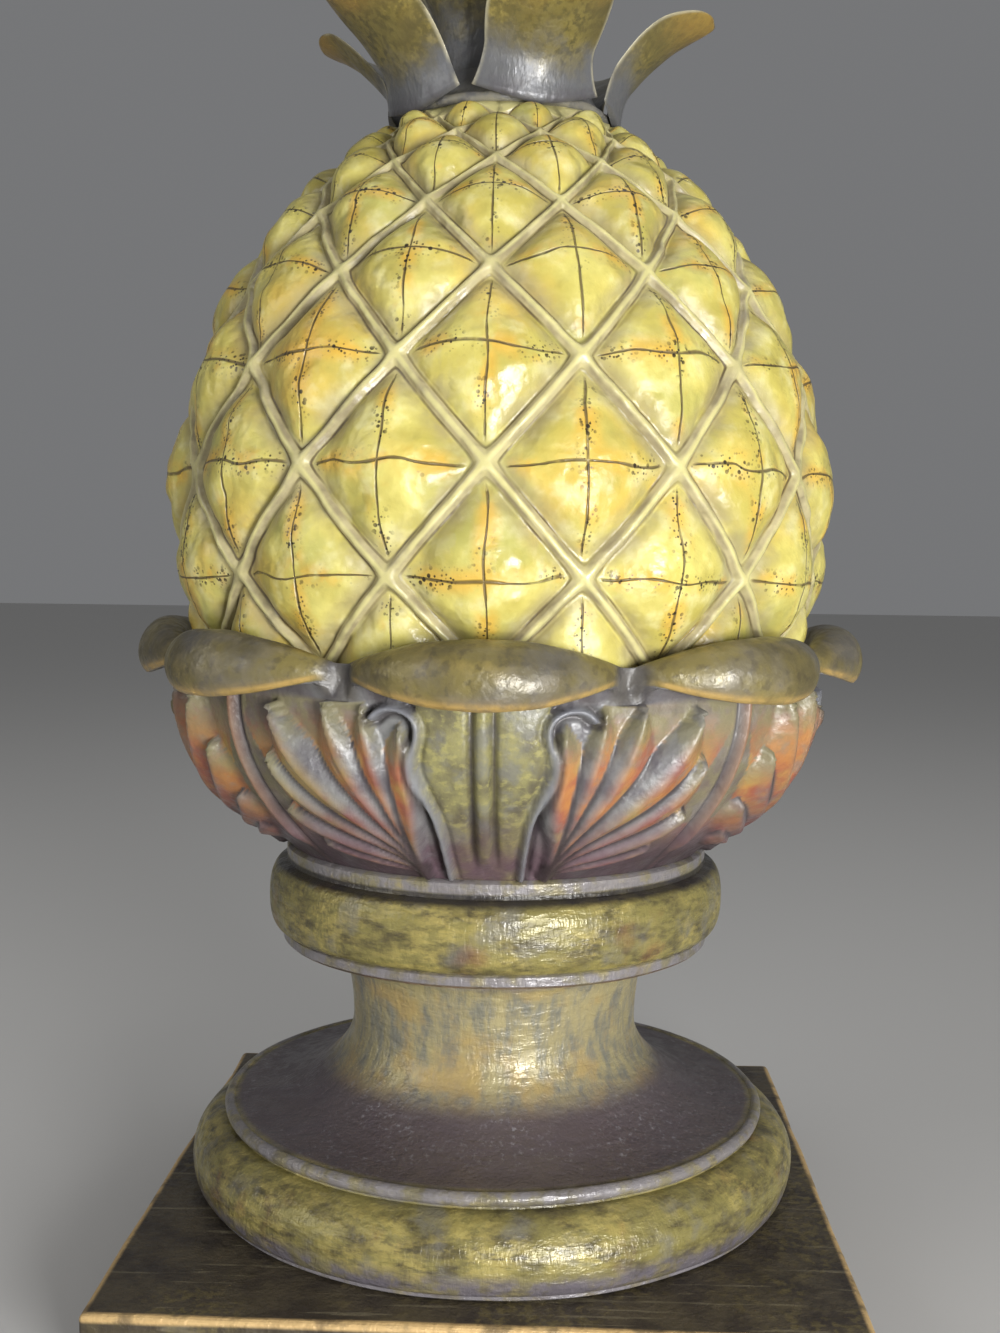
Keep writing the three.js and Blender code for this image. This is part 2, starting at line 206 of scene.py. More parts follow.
def lifted(outline, z, rise):
    """Radius and height of a place that stands off an outline by rise, square to it."""
    slope = outline(z + 0.5) - outline(z - 0.5)
    steep = 1 / np.sqrt(1 + slope**2)
    return outline(z) + rise * steep, z - rise * slope * steep


def ripple(points, size, seed):
    """A soft uneven field between about -1 and 1, the same on every run."""
    random = np.random.default_rng(seed)
    total = np.zeros(len(points))
    for _ in range(7):
        way = random.normal(size=3)
        way /= np.linalg.norm(way)
        length = size * random.uniform(0.7, 1.4)
        total += np.sin(points @ way * (2 * np.pi / length) + random.uniform(0, 7))
    return total / 3.5


# %% [markdown]
# ## Paint helpers
# Each finish is built up in coats, as the painter did: a base colour, then coats that show only
# where their masks let them through. A mask is noise in the object's own coordinates, or a value
# stored on the mesh. The helpers add their nodes to the paint that was started last.

# %% Paint helpers
def new_paint(name, roughness, metallic):
    global paint
    paint = bpy.data.materials.new(name)
    paint.use_nodes = True
    shader = paint.node_tree.nodes["Principled BSDF"].inputs
    shader["Roughness"].default_value = roughness
    shader["Metallic"].default_value = metallic
    return paint


def add_node(kind, sockets, **settings):
    node = paint.node_tree.nodes.new(kind)
    for key, value in settings.items():
        setattr(node, key, value)
    for key, value in sockets.items():
        if isinstance(value, bpy.types.NodeSocket):
            paint.node_tree.links.new(value, node.inputs[key])
        else:
            node.inputs[key].default_value = value
    return node


def math_node(operation, a, b=0.0):
    return add_node("ShaderNodeMath", {0: a, 1: b}, operation=operation).outputs[0]


def times(first, *others):
    for other in others:
        first = math_node("MULTIPLY", first, other)
    return first


def fade(value, low, high, to_low=0.0, to_high=1.0):
    sockets = {"Value": value, "From Min": low, "From Max": high, "To Min": to_low, "To Max": to_high}
    return add_node("ShaderNodeMapRange", sockets, interpolation_type="SMOOTHSTEP").outputs[0]


def stored(name):
    return add_node("ShaderNodeAttribute", {}, attribute_name=name).outputs["Fac"]


def object_place(stretch=(1, 1, 1)):
    place = add_node("ShaderNodeTexCoord", {}).outputs["Object"]
    if stretch == (1, 1, 1):
        return place
    return add_node("ShaderNodeMapping", {"Vector": place, "Scale": stretch}).outputs[0]


# %% Masks of noise, and coats
def noise(size, low, high, detail=4, stretch=(1, 1, 1), rough=0.55):
    """A noise mask whose patches are about size millimetres wide."""
    grain = {"Scale": 1 / (size * mm), "Detail": detail, "Roughness": rough}
    texture = add_node("ShaderNodeTexNoise", {"Vector": object_place(stretch), **grain})
    return fade(texture.outputs[0], low, high)


def patchy(size, low, high, least, most, detail=4):
    """A strength that drifts between least and most in soft patches."""
    return fade(noise(size, low, high, detail), 0, 1, least, most)


def coat(under, colour, *masks):
    """Lays a colour over another one where all the masks, nodes or stored names, let it through."""
    masks = (stored(mask) if isinstance(mask, str) else mask for mask in masks)
    under, colour = ((*tone, 1) if isinstance(tone, tuple) else tone for tone in (under, colour))
    sockets = {0: times(*masks), 6: under, 7: colour}
    return add_node("ShaderNodeMix", sockets, data_type="RGBA").outputs[2]


def coats(skin, *layers):
    """Lays one coat after another, each given as its colour and its masks."""
    for layer in layers:
        skin = coat(skin, *layer)
    return skin


def bump(height, depth, below):
    sockets = {"Height": height, "Distance": depth * mm, "Strength": 1.0}
    if below is not None:
        sockets["Normal"] = below
    return add_node("ShaderNodeBump", sockets).outputs[0]


# %% Finish a paint and a piece
def finish_paint(colour, roughness, *bumps, **looks):
    """Links the looks. Each bump, a mask and its depth in millimetres, lies over those before it."""
    normal = None
    for height, depth in bumps:
        normal = bump(height, depth, normal)
    looks |= {"Base Color": colour, "Roughness": roughness, "Normal": normal}
    for name, socket in looks.items():
        paint.node_tree.links.new(socket, paint.node_tree.nodes["Principled BSDF"].inputs[name])
    return paint


def finish_piece(piece, finish, slot, *nodes):
    piece.data.materials.clear()
    piece.data.materials.append(finish)
    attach(piece, "root")
    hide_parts(*nodes)
    faces = sum(len(face.vertices) - 2 for face in piece.data.polygons)
    print(f"{piece.name}: {faces} triangles")


# %% [markdown]
# ## Plinth
# The plinth is a square slab with softly worn edges. It starts as a cube at its real size. A bevel
# takes the edges down, and the faces are cut into a net whose points are moved by up to half a
# millimetre, so that the light breaks on it as on a hand-finished casting.

# %% Plinth slab
plinth_bevel = 1.3
plinth_cuts = 9


def make_plinth():
    select_only()
    bpy.ops.mesh.primitive_cube_add(size=1, location=(0, 0, plinth_top * mm / 2))
    slab = new_piece("plinth_slab")
    slab.dimensions = (2 * plinth_half * mm, 2 * plinth_half * mm, plinth_top * mm)
    bpy.ops.object.transform_apply(location=True, rotation=True, scale=True)
    edit_all()
    bpy.ops.mesh.bevel(offset=plinth_bevel * mm, segments=4, profile=0.5)
    bpy.ops.mesh.select_all(action="SELECT")
    bpy.ops.mesh.subdivide(number_cuts=plinth_cuts)
    bpy.ops.mesh.normals_make_consistent(inside=False)
    edit_done()
    spots = read_points(slab)
    worn = ripple(spots, 9, 3) * 0.16 + ripple(spots, 34, 4) * 0.12
    inward = spots * np.array([1, 1, 0]) / plinth_half
    edge = smooth(0.9, 1, np.abs(inward).max(axis=1))
    spots[:, :2] -= inward[:, :2] * (0.25 + np.maximum(worn, -0.2))[:, None]
    spots[:, 2] -= np.where(spots[:, 2] > plinth_top / 2, np.maximum(worn + 0.2, 0) * edge, 0)
    set_points(slab, spots)
    bpy.ops.object.shade_smooth_by_angle(angle=math.radians(50))
    return slab


plinth = make_plinth()
print("plinth points:", len(plinth.data.vertices))

# %% [markdown]
# ## Turned foot, neck and collar
# These were turned on a lathe before the mould was made, so one outline is enough, from the axis
# under the foot to the axis on top of the collar. It is spun round the vertical axis, and the little
# fillets between the rounds keep their crisp corners.

# %% Sizes of the turned members
foot_radius = 70.2
foot_fillet_inset = 2.6
foot_fillet_height = 1.2
foot_lower_round = 6.0
foot_upper_round = 9.0
bead_radius = 62.6
bead_height = 3.3
dish_inset = 2.0
neck_radius = 33.2
scotia_height = 18.6
neck_top_flare = 3.0
neck_top_height = 18.6
collar_fillet_radius = 49.5
collar_fillet_height = 3.2
collar_bulge = 3.2
collar_power = 2.4
collar_height = 15.0
collar_groove = 1.0
upper_fillet_radius = 48.8
upper_fillet_height = 3.2

foot_widest_z = foot_z + foot_fillet_height + foot_lower_round
bead_z = foot_widest_z + foot_upper_round
dish_z = bead_z + bead_height
neck_z = dish_z + scotia_height
collar_fillet_z = neck_z + neck_top_height
collar_z = collar_fillet_z + collar_fillet_height
upper_fillet_z = collar_z + collar_height + collar_groove
cup_z = upper_fillet_z + upper_fillet_height
print(f"bead at {bead_z:.1f}, neck {neck_z:.1f}, collar {collar_z:.1f}, cup {cup_z:.1f} mm")


# %% The turned outline
def arc(middle_r, middle_z, reach_r, reach_z, start, end, count):
    angles = np.radians(np.linspace(start, end, count))
    return list(zip(middle_r + reach_r * np.cos(angles), middle_z + reach_z * np.sin(angles)))


def turned_outline():
    fillet = foot_radius - foot_fillet_inset
    lower_z = foot_z + foot_fillet_height
    shoulder = bead_radius - 0.8
    dish = bead_radius - dish_inset
    lip = collar_fillet_radius
    upper = upper_fillet_radius
    outline = [(0, foot_z), (fillet - 0.5, foot_z), (fillet, foot_z + 0.4), (fillet, lower_z)]
    outline += arc(fillet, foot_widest_z, foot_fillet_inset, foot_lower_round, -88, 0, 12)
    outline += arc(shoulder, foot_widest_z, foot_radius - shoulder, foot_upper_round, 5, 90, 18)
    outline += arc(bead_radius - 1.3, bead_z + 1.9, 1.7, 1.5, -80, 90, 12)
    outline.append((dish + 0.1, dish_z - 0.3))
    for angle in np.radians(np.linspace(3, 90, 34)):
        inward = (dish - neck_radius) * math.sin(angle)
        outline.append((dish - inward, neck_z - scotia_height * math.cos(angle)))
    for share in np.linspace(0.08, 1, 18):
        flare = neck_top_flare * (share**2 + smooth(0.86, 1, share))
        outline.append((neck_radius + flare, neck_z + neck_top_height * share))
    outline += [(lip - 0.7, collar_fillet_z + 0.05), (lip, collar_fillet_z + 0.7), (lip, collar_z - 0.7)]
    outline.append((lip - 0.8, collar_z))
    for share in np.linspace(0.015, 0.985, 26):
        bulge = (1 - abs(2 * share - 1) ** collar_power) ** (1 / collar_power)
        outline.append((lip + collar_bulge * bulge, collar_z + collar_height * share))
    outline += [(lip - 0.6, upper_fillet_z - 0.7), (lip - 0.9, upper_fillet_z)]
    outline += [(upper, upper_fillet_z + 0.6), (upper, cup_z - 0.7), (upper - 0.8, cup_z), (0, cup_z)]
    return outline


# %% Spin the outline
turned_steps = 192


def make_turned():
    outline = turned_outline()
    shape = bpy.data.meshes.new("turned_pedestal")
    edges = [(i, i + 1) for i in range(len(outline) - 1)]
    shape.from_pydata([(0, -r * mm, z * mm) for r, z in outline], edges, [])
    pedestal = place_object("turned_pedestal", shape)
    select_only(pedestal)
    edit_all()
    bpy.ops.mesh.spin(steps=turned_steps, angle=2 * math.pi, center=(0, 0, 0), axis=(0, 0, 1))
    edit_done()
    close_up(pedestal, sharp=45)
    spots = read_points(pedestal)
    radius = np.hypot(spots[:, 0], spots[:, 1])
    height = spots[:, 2]
    wobble = 1 + (ripple(spots, 26, 8) * 0.14 + ripple(spots, 8, 9) * 0.03) / np.maximum(radius, 20)
    spots[:, :2] *= wobble[:, None]
    set_points(pedestal, spots)

    def between(low, high, soft=0.5):
        return smooth(low - soft, low, height) * (1 - smooth(high, high + soft, height))

    bead = between(bead_z + 0.6, dish_z + 0.1) * smooth(60.5, 61.2, radius) * (1 - smooth(64.4, 65, radius))
    fillets = between(collar_fillet_z + 0.5, collar_z - 0.4) + between(upper_fillet_z + 0.3, cup_z)
    # The top of the neck under the collar's overhang joins the low mask, and is painted violet there as
    # painted shade under the collar.
    under = between(neck_z + 0.82 * neck_top_height, collar_fillet_z + 0.3, 2)
    store(
        pedestal,
        fillet=np.clip(bead + fillets + between(foot_z, foot_z + foot_fillet_height, 0.3), 0, 1),
        dish=smooth(34.5, 41, radius) * smooth(61, 59.5, radius) * between(dish_z - 0.6, neck_z - 4, 5),
        neck=between(neck_z - 11, neck_z + 0.6 * neck_top_height, 6) * (1 - smooth(37, 45, radius)),
        low=between(foot_z, foot_z + 3.5, 4) + 0.8 * under,
        amber=between(collar_fillet_z - 0.8, collar_fillet_z + 0.3, 0.4),
        seam=between(collar_z + collar_height - 0.6, upper_fillet_z + 0.1, 0.4),
    )
    return pedestal


turned = make_turned()
print("points in the turned outline:", len(turned_outline()))

# %% [markdown]
# ## The fruit's outline and the cup's bowl
# The fruit drops into the cup, so both follow one outline: a smooth egg that is widest a little
# above the rim. The bowl curves out from the collar to a rim that clears the fruit by its wall.

# %% Outlines that the fruit and the cup share
fruit_radius = 75.3
fruit_equator_rise = 38.0
fruit_upper_height = 93.7
fruit_lower_height = 80.0
shoulder_power = 1.844
fullness_power = 1.775
cup_depth = 38.1
cup_foot_radius = 47.6
cup_wall = 5.6
socket_clearance = 0.8
socket_mouth_rise = 3.4

rim_z = cup_z + cup_depth
equator_z = rim_z + fruit_equator_rise


def fruit_outline(z):
    below = np.clip((equator_z - z) / fruit_lower_height, 0, 1)
    above = np.clip((z - equator_z) / fruit_upper_height, 0, 1)
    lower = fruit_radius * np.sqrt(1 - below**2)
    upper = fruit_radius * np.maximum(1 - above**shoulder_power, 0) ** (1 / fullness_power)
    return np.where(z < equator_z, lower, upper)


def socket_radius(z):
    return float(fruit_outline(z)) + socket_clearance


rim_radius = socket_radius(rim_z) + cup_wall


def bowl_outline(z):
    up = np.clip((z - cup_z) / cup_depth, 0, 1)
    return rim_radius - (rim_radius - cup_foot_radius) * (1 - up) ** 2


print(f"rim at z {rim_z:.1f}, radius {rim_radius:.1f} mm")

# %% [markdown]
# ## Acanthus carving
# Every second leaf is plain, with one rib between two grooves, and a fan of acanthus lobes grows
# beside it on either side and laps over the next leaf. So the carving is described once, from the
# middle of a plain leaf (0 degrees) to the middle of the next one (45 degrees), and every other
# angle is folded back on that strip. Each lobe is a ridge along its own curve. The highest lobe wins
# at every point, so that neighbours meet in valleys like those a carver's gouge leaves.

# %% Sizes of the carving
leaf_count = 8
leaf_step = 360 / leaf_count
fan_root_angle = 14.0
fan_root_z = cup_z + 1.5
lobe_tips = ((-2, 40.5), (5.6, 44), (13.2, 44.6), (25.7, 43.4), (28, 33.5), (26, 21), (20, 11.5))
lobe_half_widths = (4.4, 3.6, 4.6, 5.6, 4.8, 4.2, 3.4)
lobe_rise = 2.7
lobe_floor = -0.8
lobe_first_bend = (0.03, 0.52)
lobe_second_bend = (0.85, 0.52)
valley_round = 0.7
border_heights = (95.4, 103, 110.4, 115.5, 120.2, 123.8, 127.2, 129.2, 131)
border_angles = (8.2, 7.8, 8.0, 9.5, 10.9, 10.8, 9.9, 9.7, 10.2)
hood_heights = (132.4, 133.0, 132.4, 130.8)
hood_angles = (11.6, 13.7, 15.7, 16.9)
strand_half_width = 0.85
strand_groove = 0.55
rib_groove_place = 2.2
print(f"{leaf_count} leaves, a fan of {len(lobe_tips)} lobes beside every second one")


# %% One lobe of a fan
def bowl_arc(z):
    """Length along the bowl from the fans' root up to a height."""
    heights = np.linspace(cup_z, rim_z, 400)
    steps = np.hypot(np.diff(heights), np.diff(bowl_outline(heights)))
    lengths = running(steps)
    return np.interp(z, heights, lengths - np.interp(fan_root_z, heights, lengths))


def ridge(distance, half_width, height):
    return height * np.sqrt(np.clip(1 - (distance / half_width) ** 2, 0, 1))


def lobe_path(tip_x, tip_y):
    """A lobe's middle line: up with the others, then outward, and up again towards its tip."""
    shares = np.linspace(0, 1, 70)
    rest = 1 - shares
    first = 3 * shares * rest**2
    second = 3 * shares**2 * rest
    path_x = tip_x * (first * lobe_first_bend[0] + second * lobe_second_bend[0] + shares**3)
    path_y = tip_y * (first * lobe_first_bend[1] + second * lobe_second_bend[1] + shares**3)
    return shares, path_x, path_y


def lobe_shape(x, y, tip_x, tip_y, half_width):
    """Height of one lobe, and how far along (0 to 1) and across (-1 to 1) it a point lies."""
    shares, path_x, path_y = lobe_path(tip_x, tip_y)
    gaps = np.hypot(x[:, None] - path_x, y[:, None] - path_y)
    nearest = gaps.argmin(axis=1)
    along = shares[nearest]
    way_x, way_y = np.gradient(path_x)[nearest], np.gradient(path_y)[nearest]
    side = np.sign((x - path_x[nearest]) * way_y - (y - path_y[nearest]) * way_x)
    width = half_width * (0.35 + 0.65 * smooth(0.1, 0.6, along))
    width *= np.cos(np.clip((along - 0.72) / 0.28, 0, 0.97) * np.pi / 2) ** 0.6
    across = np.clip(side * gaps.min(axis=1) / width, -1.4, 1.4)
    leaning = across + 0.25 * (1 - across**2)
    body = 1 - np.abs(leaning) ** 1.8
    vein = 0.12 * bell(leaning, 0.18) * smooth(0.1, 0.4, along)
    rise = lobe_rise * (0.5 + 0.5 * smooth(0, 0.5, along)) * (half_width / 4.5) ** 0.9
    return rise * (body + vein), along, across


# %% The whole strip from a plain leaf to the next one
def carve_fan(folded, z):
    """The fan alone, with masks: warm on each lobe's outer side, its tip, and the cut beside it."""
    x = np.radians(folded - fan_root_angle) * bowl_outline(z)
    y = bowl_arc(z)
    best = np.full(len(x), lobe_floor)
    second = np.full(len(x), lobe_floor)
    warm = np.zeros(len(x))
    tips = np.zeros(len(x))
    for (tip_x, tip_y), half_width in zip(lobe_tips, lobe_half_widths):
        lobe, along, across = lobe_shape(x, y, tip_x, tip_y, half_width)
        here = lobe > best
        second = np.where(here, best, np.maximum(second, lobe))
        best = np.where(here, lobe, best)
        side = smooth(-0.65, 0.05, across) * smooth(0.03, 0.25, along) * smooth(1.05, 0.85, along)
        warm = np.where(here, side, warm)
        tips = np.where(here, smooth(0.75, 1, along), tips)
    close = smooth(1.3, 0.15, best - second) * smooth(lobe_floor, lobe_floor + 0.6, second)
    valley = np.maximum(1 - (best - second) / valley_round, 0) ** 2 * valley_round / 4
    return best + valley, warm * (1 - close), tips * (1 - close), close


def eased(values, window=13):
    """A fine line through measured places, with its corners rounded by a running mean."""
    fine = np.interp(np.linspace(0, len(values) - 1, 150), np.arange(len(values)), values)
    return np.convolve(np.pad(fine, window // 2, mode="edge"), np.ones(window) / window, "valid")


def border_distance(folded, z):
    """Distance from the strand beside a plain leaf, which curls over the first lobe as a hood."""
    path_z = eased(border_heights + hood_heights)
    path_angle = eased(border_angles + hood_angles)
    arc_size = np.radians(bowl_outline(z))
    gaps = np.hypot((folded[:, None] - path_angle) * arc_size[:, None], 1.15 * (z[:, None] - path_z))
    beyond = (folded - np.interp(z, border_heights, border_angles)) * arc_size
    return gaps.min(axis=1) * np.sign(beyond), smooth(-0.3, 0.5, beyond)


def carve(folded, z):
    """Height of the carving over the bare bowl in millimetres, with the masks for its paint."""
    arc_size = np.radians(bowl_outline(z))
    fan, warm, tips, cut = carve_fan(folded, z)
    from_border, in_fan = border_distance(folded, z)
    from_rib = folded * arc_size
    rib_fade = smooth(cup_z + 2, cup_z + 9, z)
    plain = 0.35 * np.sin(np.clip(from_rib / 13, 0, 1) * np.pi)
    rib_grooves = bell(from_rib - rib_groove_place, 0.65)
    plain += rib_fade * (ridge(from_rib, 1.4, 1.3) - rib_grooves)
    height = fan * in_fan + plain * (1 - in_fan)
    strand = ridge(from_border, strand_half_width, 1.7)
    on_strand = np.abs(from_border) < strand_half_width
    height = np.where(on_strand, np.maximum(height, strand), height)
    outer_groove = bell(from_border - 1.5, strand_groove)
    height -= 1.1 * outer_groove
    height -= 0.6 * bell(from_border + 1.4, 0.5)
    from_next = (leaf_step - folded) * arc_size
    beside = smooth(2.9, 1.5, from_next) * smooth(cup_z + 3, cup_z + 9, z)
    next_groove = bell(from_next - 1.6, 0.5)
    next_rib = ridge(from_next, 0.95, 1.5) - 0.9 * next_groove
    height = height * (1 - beside) + beside * next_rib
    grooves = outer_groove + 0.8 * next_groove
    grooves += rib_fade * bell(from_rib - rib_groove_place, 0.6) * (1 - in_fan)
    masks = {
        "warm": warm * in_fan * (1 - beside),
        "tips": tips * in_fan * (1 - beside),
        # the cut mask is painted near black: partly a dark wash, partly painted shade in the valleys
        # between lobes and in the grooves
        "cut": np.clip(cut * in_fan * (1 - beside) + grooves, 0, 1),
        "strand": bell(from_border, 0.8),
        "plain": 1 - in_fan,
        "rib": bell(from_next, 0.9),
    }
    return height * smooth(cup_z, cup_z + 1.5, z), masks


# %% [markdown]
# ## Leaf cup
# The bowl and its eight curled lips are one wrapped grid. Its rows run from under the collar up the
# outside of the bowl, out along the underside of the lip, round the lip's thin edge, back over the
# top and down into the socket that holds the fruit. Towards the gap between two leaves the lip
# shrinks to a notched wall that leans on the fruit, which gives each lip its pointed corners.

# %% Sizes of the lips
lip_gap_angle = 1.2
lip_reach = 11.3
lip_rise = 13.0
lip_edge_rise = 0.3
lip_thickness = 2.2
lip_roll_share = 0.63
lip_flat_share = 0.6
lip_gap_bead = 0.2
lip_gap_rise = 0.45
lip_notch_depth = 2.0
lip_notch_angle = 3.2
lip_taper = 0.9
lip_back_angle = 130
columns_per_leaf = 100
bowl_rows = 76
print(f"lips reach {rim_radius + lip_reach:.1f} mm from the axis")


# %% The lip's section, and the gap between two lips
def lip_section():
    """The rolled lip as radii and heights, from its underside round its edge to the socket."""
    reach = lip_reach * lip_roll_share
    rise = lip_rise * lip_flat_share
    middle_r = rim_radius + lip_reach - reach
    middle_z = rim_z + lip_rise - rise
    edge = -math.degrees(math.asin((middle_z - rim_z - lip_edge_rise) / rise))
    inner = arc(middle_r, middle_z, reach - lip_thickness, rise - lip_thickness, 100, edge + 6, 9)
    half = lip_thickness / 2
    edge_r = middle_r + (reach - half) * math.cos(math.radians(edge))
    edge_z = middle_z + (rise - half) * math.sin(math.radians(edge))
    rounding = arc(edge_r, edge_z, half, half, edge - 150, edge - 30, 4)
    outer = arc(middle_r, middle_z, reach, rise, edge + 4, lip_back_angle, 20)
    rows = [(rim_radius, rim_z + lip_rise * lip_gap_bead), *inner, *rounding, *outer]
    return np.array(rows), len(inner) + len(rounding) + 1


def lip_gap(step, outer_start, steps, offset):
    """Radii and heights between two lips: a notched wall from the bowl up to a rounded edge."""
    rest_z = rim_z + lip_rise * lip_gap_rise
    bead_r = lip_reach * lip_roll_share * lip_gap_bead
    rest_r = socket_radius(rest_z) + bead_r
    wall = step / outer_start
    bend = np.radians(lip_back_angle) * (step - outer_start) / (steps - outer_start)
    foot_r = rim_radius + lobe_floor
    wall_r = foot_r + (rest_r + bead_r - foot_r) * wall
    wall_z = rim_z + (rest_z - rim_z) * wall
    gap_r = np.where(step < outer_start, wall_r, rest_r + bead_r * np.cos(bend))
    gap_z = np.where(step < outer_start, wall_z, rest_z + bead_r * np.sin(bend))
    notch = lip_notch_depth * np.maximum(1 - (leaf_step / 2 - np.abs(offset)) / lip_notch_angle, 0)
    notch *= np.where(step < outer_start, wall, np.maximum(np.cos(bend), 0))
    return gap_r - notch, gap_z - notch


# %% Wrap the cup
def make_cup():
    section, outer_start = lip_section()
    lip_start = bowl_rows + 2
    last = lip_start + len(section)
    around = leaf_count * columns_per_leaf
    cup = add_grid("leaf_cup", around, last + 2)
    across, up = grid_shares(cup)
    rows = np.rint(up * (last + 2)).astype(int)
    columns = np.rint(across * around).astype(int)
    within = (columns % columns_per_leaf) / (columns_per_leaf / 2) - 1
    offset = within * leaf_step / 2
    degrees = columns // columns_per_leaf * leaf_step + offset
    folded = np.abs((degrees + leaf_step) % (2 * leaf_step) - leaf_step)
    share = np.clip(np.abs(offset) / (leaf_step / 2 - lip_gap_angle), 0, 1)
    share = np.maximum(np.cos(share * np.pi / 2), 0) ** lip_taper

    radius = np.zeros(len(rows))
    height = np.full(len(rows), cup_z - upper_fillet_height / 2)
    radius[rows == 1] = cup_foot_radius - 1.5
    on_bowl = (rows >= 2) & (rows < lip_start)
    bowl_z = cup_z + cup_depth * (rows - 2) / (bowl_rows - 1)
    relief, masks = carve(folded[on_bowl], bowl_z[on_bowl])
    radius[on_bowl], height[on_bowl] = lifted(bowl_outline, bowl_z[on_bowl], relief)

    on_lip = (rows >= lip_start) & (rows < last)
    step = np.clip(rows - lip_start, 0, len(section) - 1)
    full_r, full_z = section[step, 0], section[step, 1]
    gap_r, gap_z = lip_gap(step, outer_start, len(section) - 1, offset)
    radius[on_lip] = (gap_r + (full_r - gap_r) * share)[on_lip]
    height[on_lip] = (gap_z + (full_z - gap_z) * share)[on_lip]

    mouth_z = rim_z + socket_mouth_rise
    radius[rows == last] = socket_radius(mouth_z)
    height[rows == last] = mouth_z
    radius[rows == last + 1] = socket_radius(fruit_seat_z)
    height[rows > last] = fruit_seat_z - 0.3

    points = on_axis(radius, degrees, height)
    uneven = 0.15 * on_lip * share
    points += on_axis(ripple(points, 15, 12) * uneven, degrees, ripple(points, 13, 13) * uneven)
    set_points(cup, points)
    for name, values in masks.items():
        spread = np.zeros(len(rows))
        spread[on_bowl] = values
        store(cup, **{name: spread})
    on_top = on_lip & (step >= outer_start - 2)
    store(
        cup,
        lip=smooth(0.05, 0.22, share) * on_top,
        # the underside mask is painted dark: painted shade under the lips
        underside=smooth(0.15, 0.5, share) * (on_lip & ~on_top),
        lip_edge=bell(step - outer_start + 0.5, 1.1) * smooth(0.1, 0.3, share) * on_lip,
        # the gap mask is painted dark: painted shade between two lips
        gap=smooth(0.3, 0.1, share) * on_lip,
        base=smooth(115, 99, height) * on_bowl,
    )
    close_up(cup)
    return cup


cup = make_cup()
print("cup points:", len(cup.data.vertices))

# %% [markdown]
# ## Fruit
# Raised straps wind round the fruit both ways, with a cushion in each opening. Every cushion is one
# patch whose sides lie on the middle lines of four straps, and its own two directions follow them,
# so the straps stay crisp. One patch is modelled for each row, and copied round the fruit.

# %% Lattice of the fruit
lattice_columns = 12
lattice_rows = 8
lattice_foot_z = rim_z + socket_mouth_rise
lattice_top_radius = 27.5
pillow_rise = 3.0
strap_share = 0.085
groove_share = 0.135
patch_cells = 28
dome_height = 4.0
dome_power = 2.4
dome_fullness = 0.72
line_bow = 0.16
crown_seat_radius = 23.0
half_column = 180 / lattice_columns


def lattice_levels():
    """Heights of the crossing rows: their spacing shrinks with the fruit's radius."""
    above = (1 - (lattice_top_radius / fruit_radius) ** fullness_power) ** (1 / shoulder_power)
    top_z = equator_z + fruit_upper_height * above
    heights = np.linspace(lattice_foot_z, top_z, 400)
    middles = (heights[1:] + heights[:-1]) / 2
    steps = np.hypot(np.diff(heights), np.diff(fruit_outline(heights))) / fruit_outline(middles)
    lengths = running(steps)
    levels = np.interp(np.linspace(0, lengths[-1], lattice_rows + 1), lengths, heights)
    below = levels[0] - 0.92 * (levels[1] - levels[0])
    return np.concatenate([[below], levels, [fruit_top_z]])


level_heights = lattice_levels()
print("crossing rows at", level_heights.round(1), "mm")


def row_height(row):
    """Height of a place between the rows, on a smooth curve through their levels."""
    low = np.clip(np.floor(row).astype(int), 0, lattice_rows - 1)
    near, far = level_heights[low + 1], level_heights[low + 2]
    before = level_heights[np.maximum(low, 1)]
    share = row - low
    pull = np.where(low > 0, (far - 2 * near + before) / 2, 0)
    between = near + (far - near) * share - pull * share * (1 - share)
    ends = np.interp(row, np.arange(-1, lattice_rows + 2), level_heights)
    return np.where((row > 0) & (row < lattice_rows), between, ends)


# %% One cushion between four straps
def strap_edge(p, q):
    """Distance from the nearest strap's middle, shortened where two straps cross in a small star."""
    far = np.maximum(np.abs(p), np.abs(q))
    near = np.minimum(np.abs(p), np.abs(q))
    crossing = bell(1 - near, 0.15)
    return (1 - far) * (1 - 0.4 * crossing), crossing


def pillow_depth(p, q):
    """How far a point lies under the fruit's outline, from a strap's middle to the cushion's top."""
    edge, crossing = strap_edge(p, q)
    strap = pillow_rise - 1.1 - 0.25 * crossing + 1.25 * np.clip(edge / strap_share, 0, 1) ** 2.6
    p_inside = 1 - np.clip(np.abs(p) / (1 - groove_share), 0, 1) ** dome_power
    q_inside = 1 - np.clip(np.abs(q) / (1 - groove_share), 0, 1) ** dome_power
    cushion = pillow_rise + 0.3 - dome_height * (p_inside * q_inside) ** dome_fullness
    mix = smooth(strap_share, groove_share, edge)
    return strap * (1 - mix) + cushion * mix


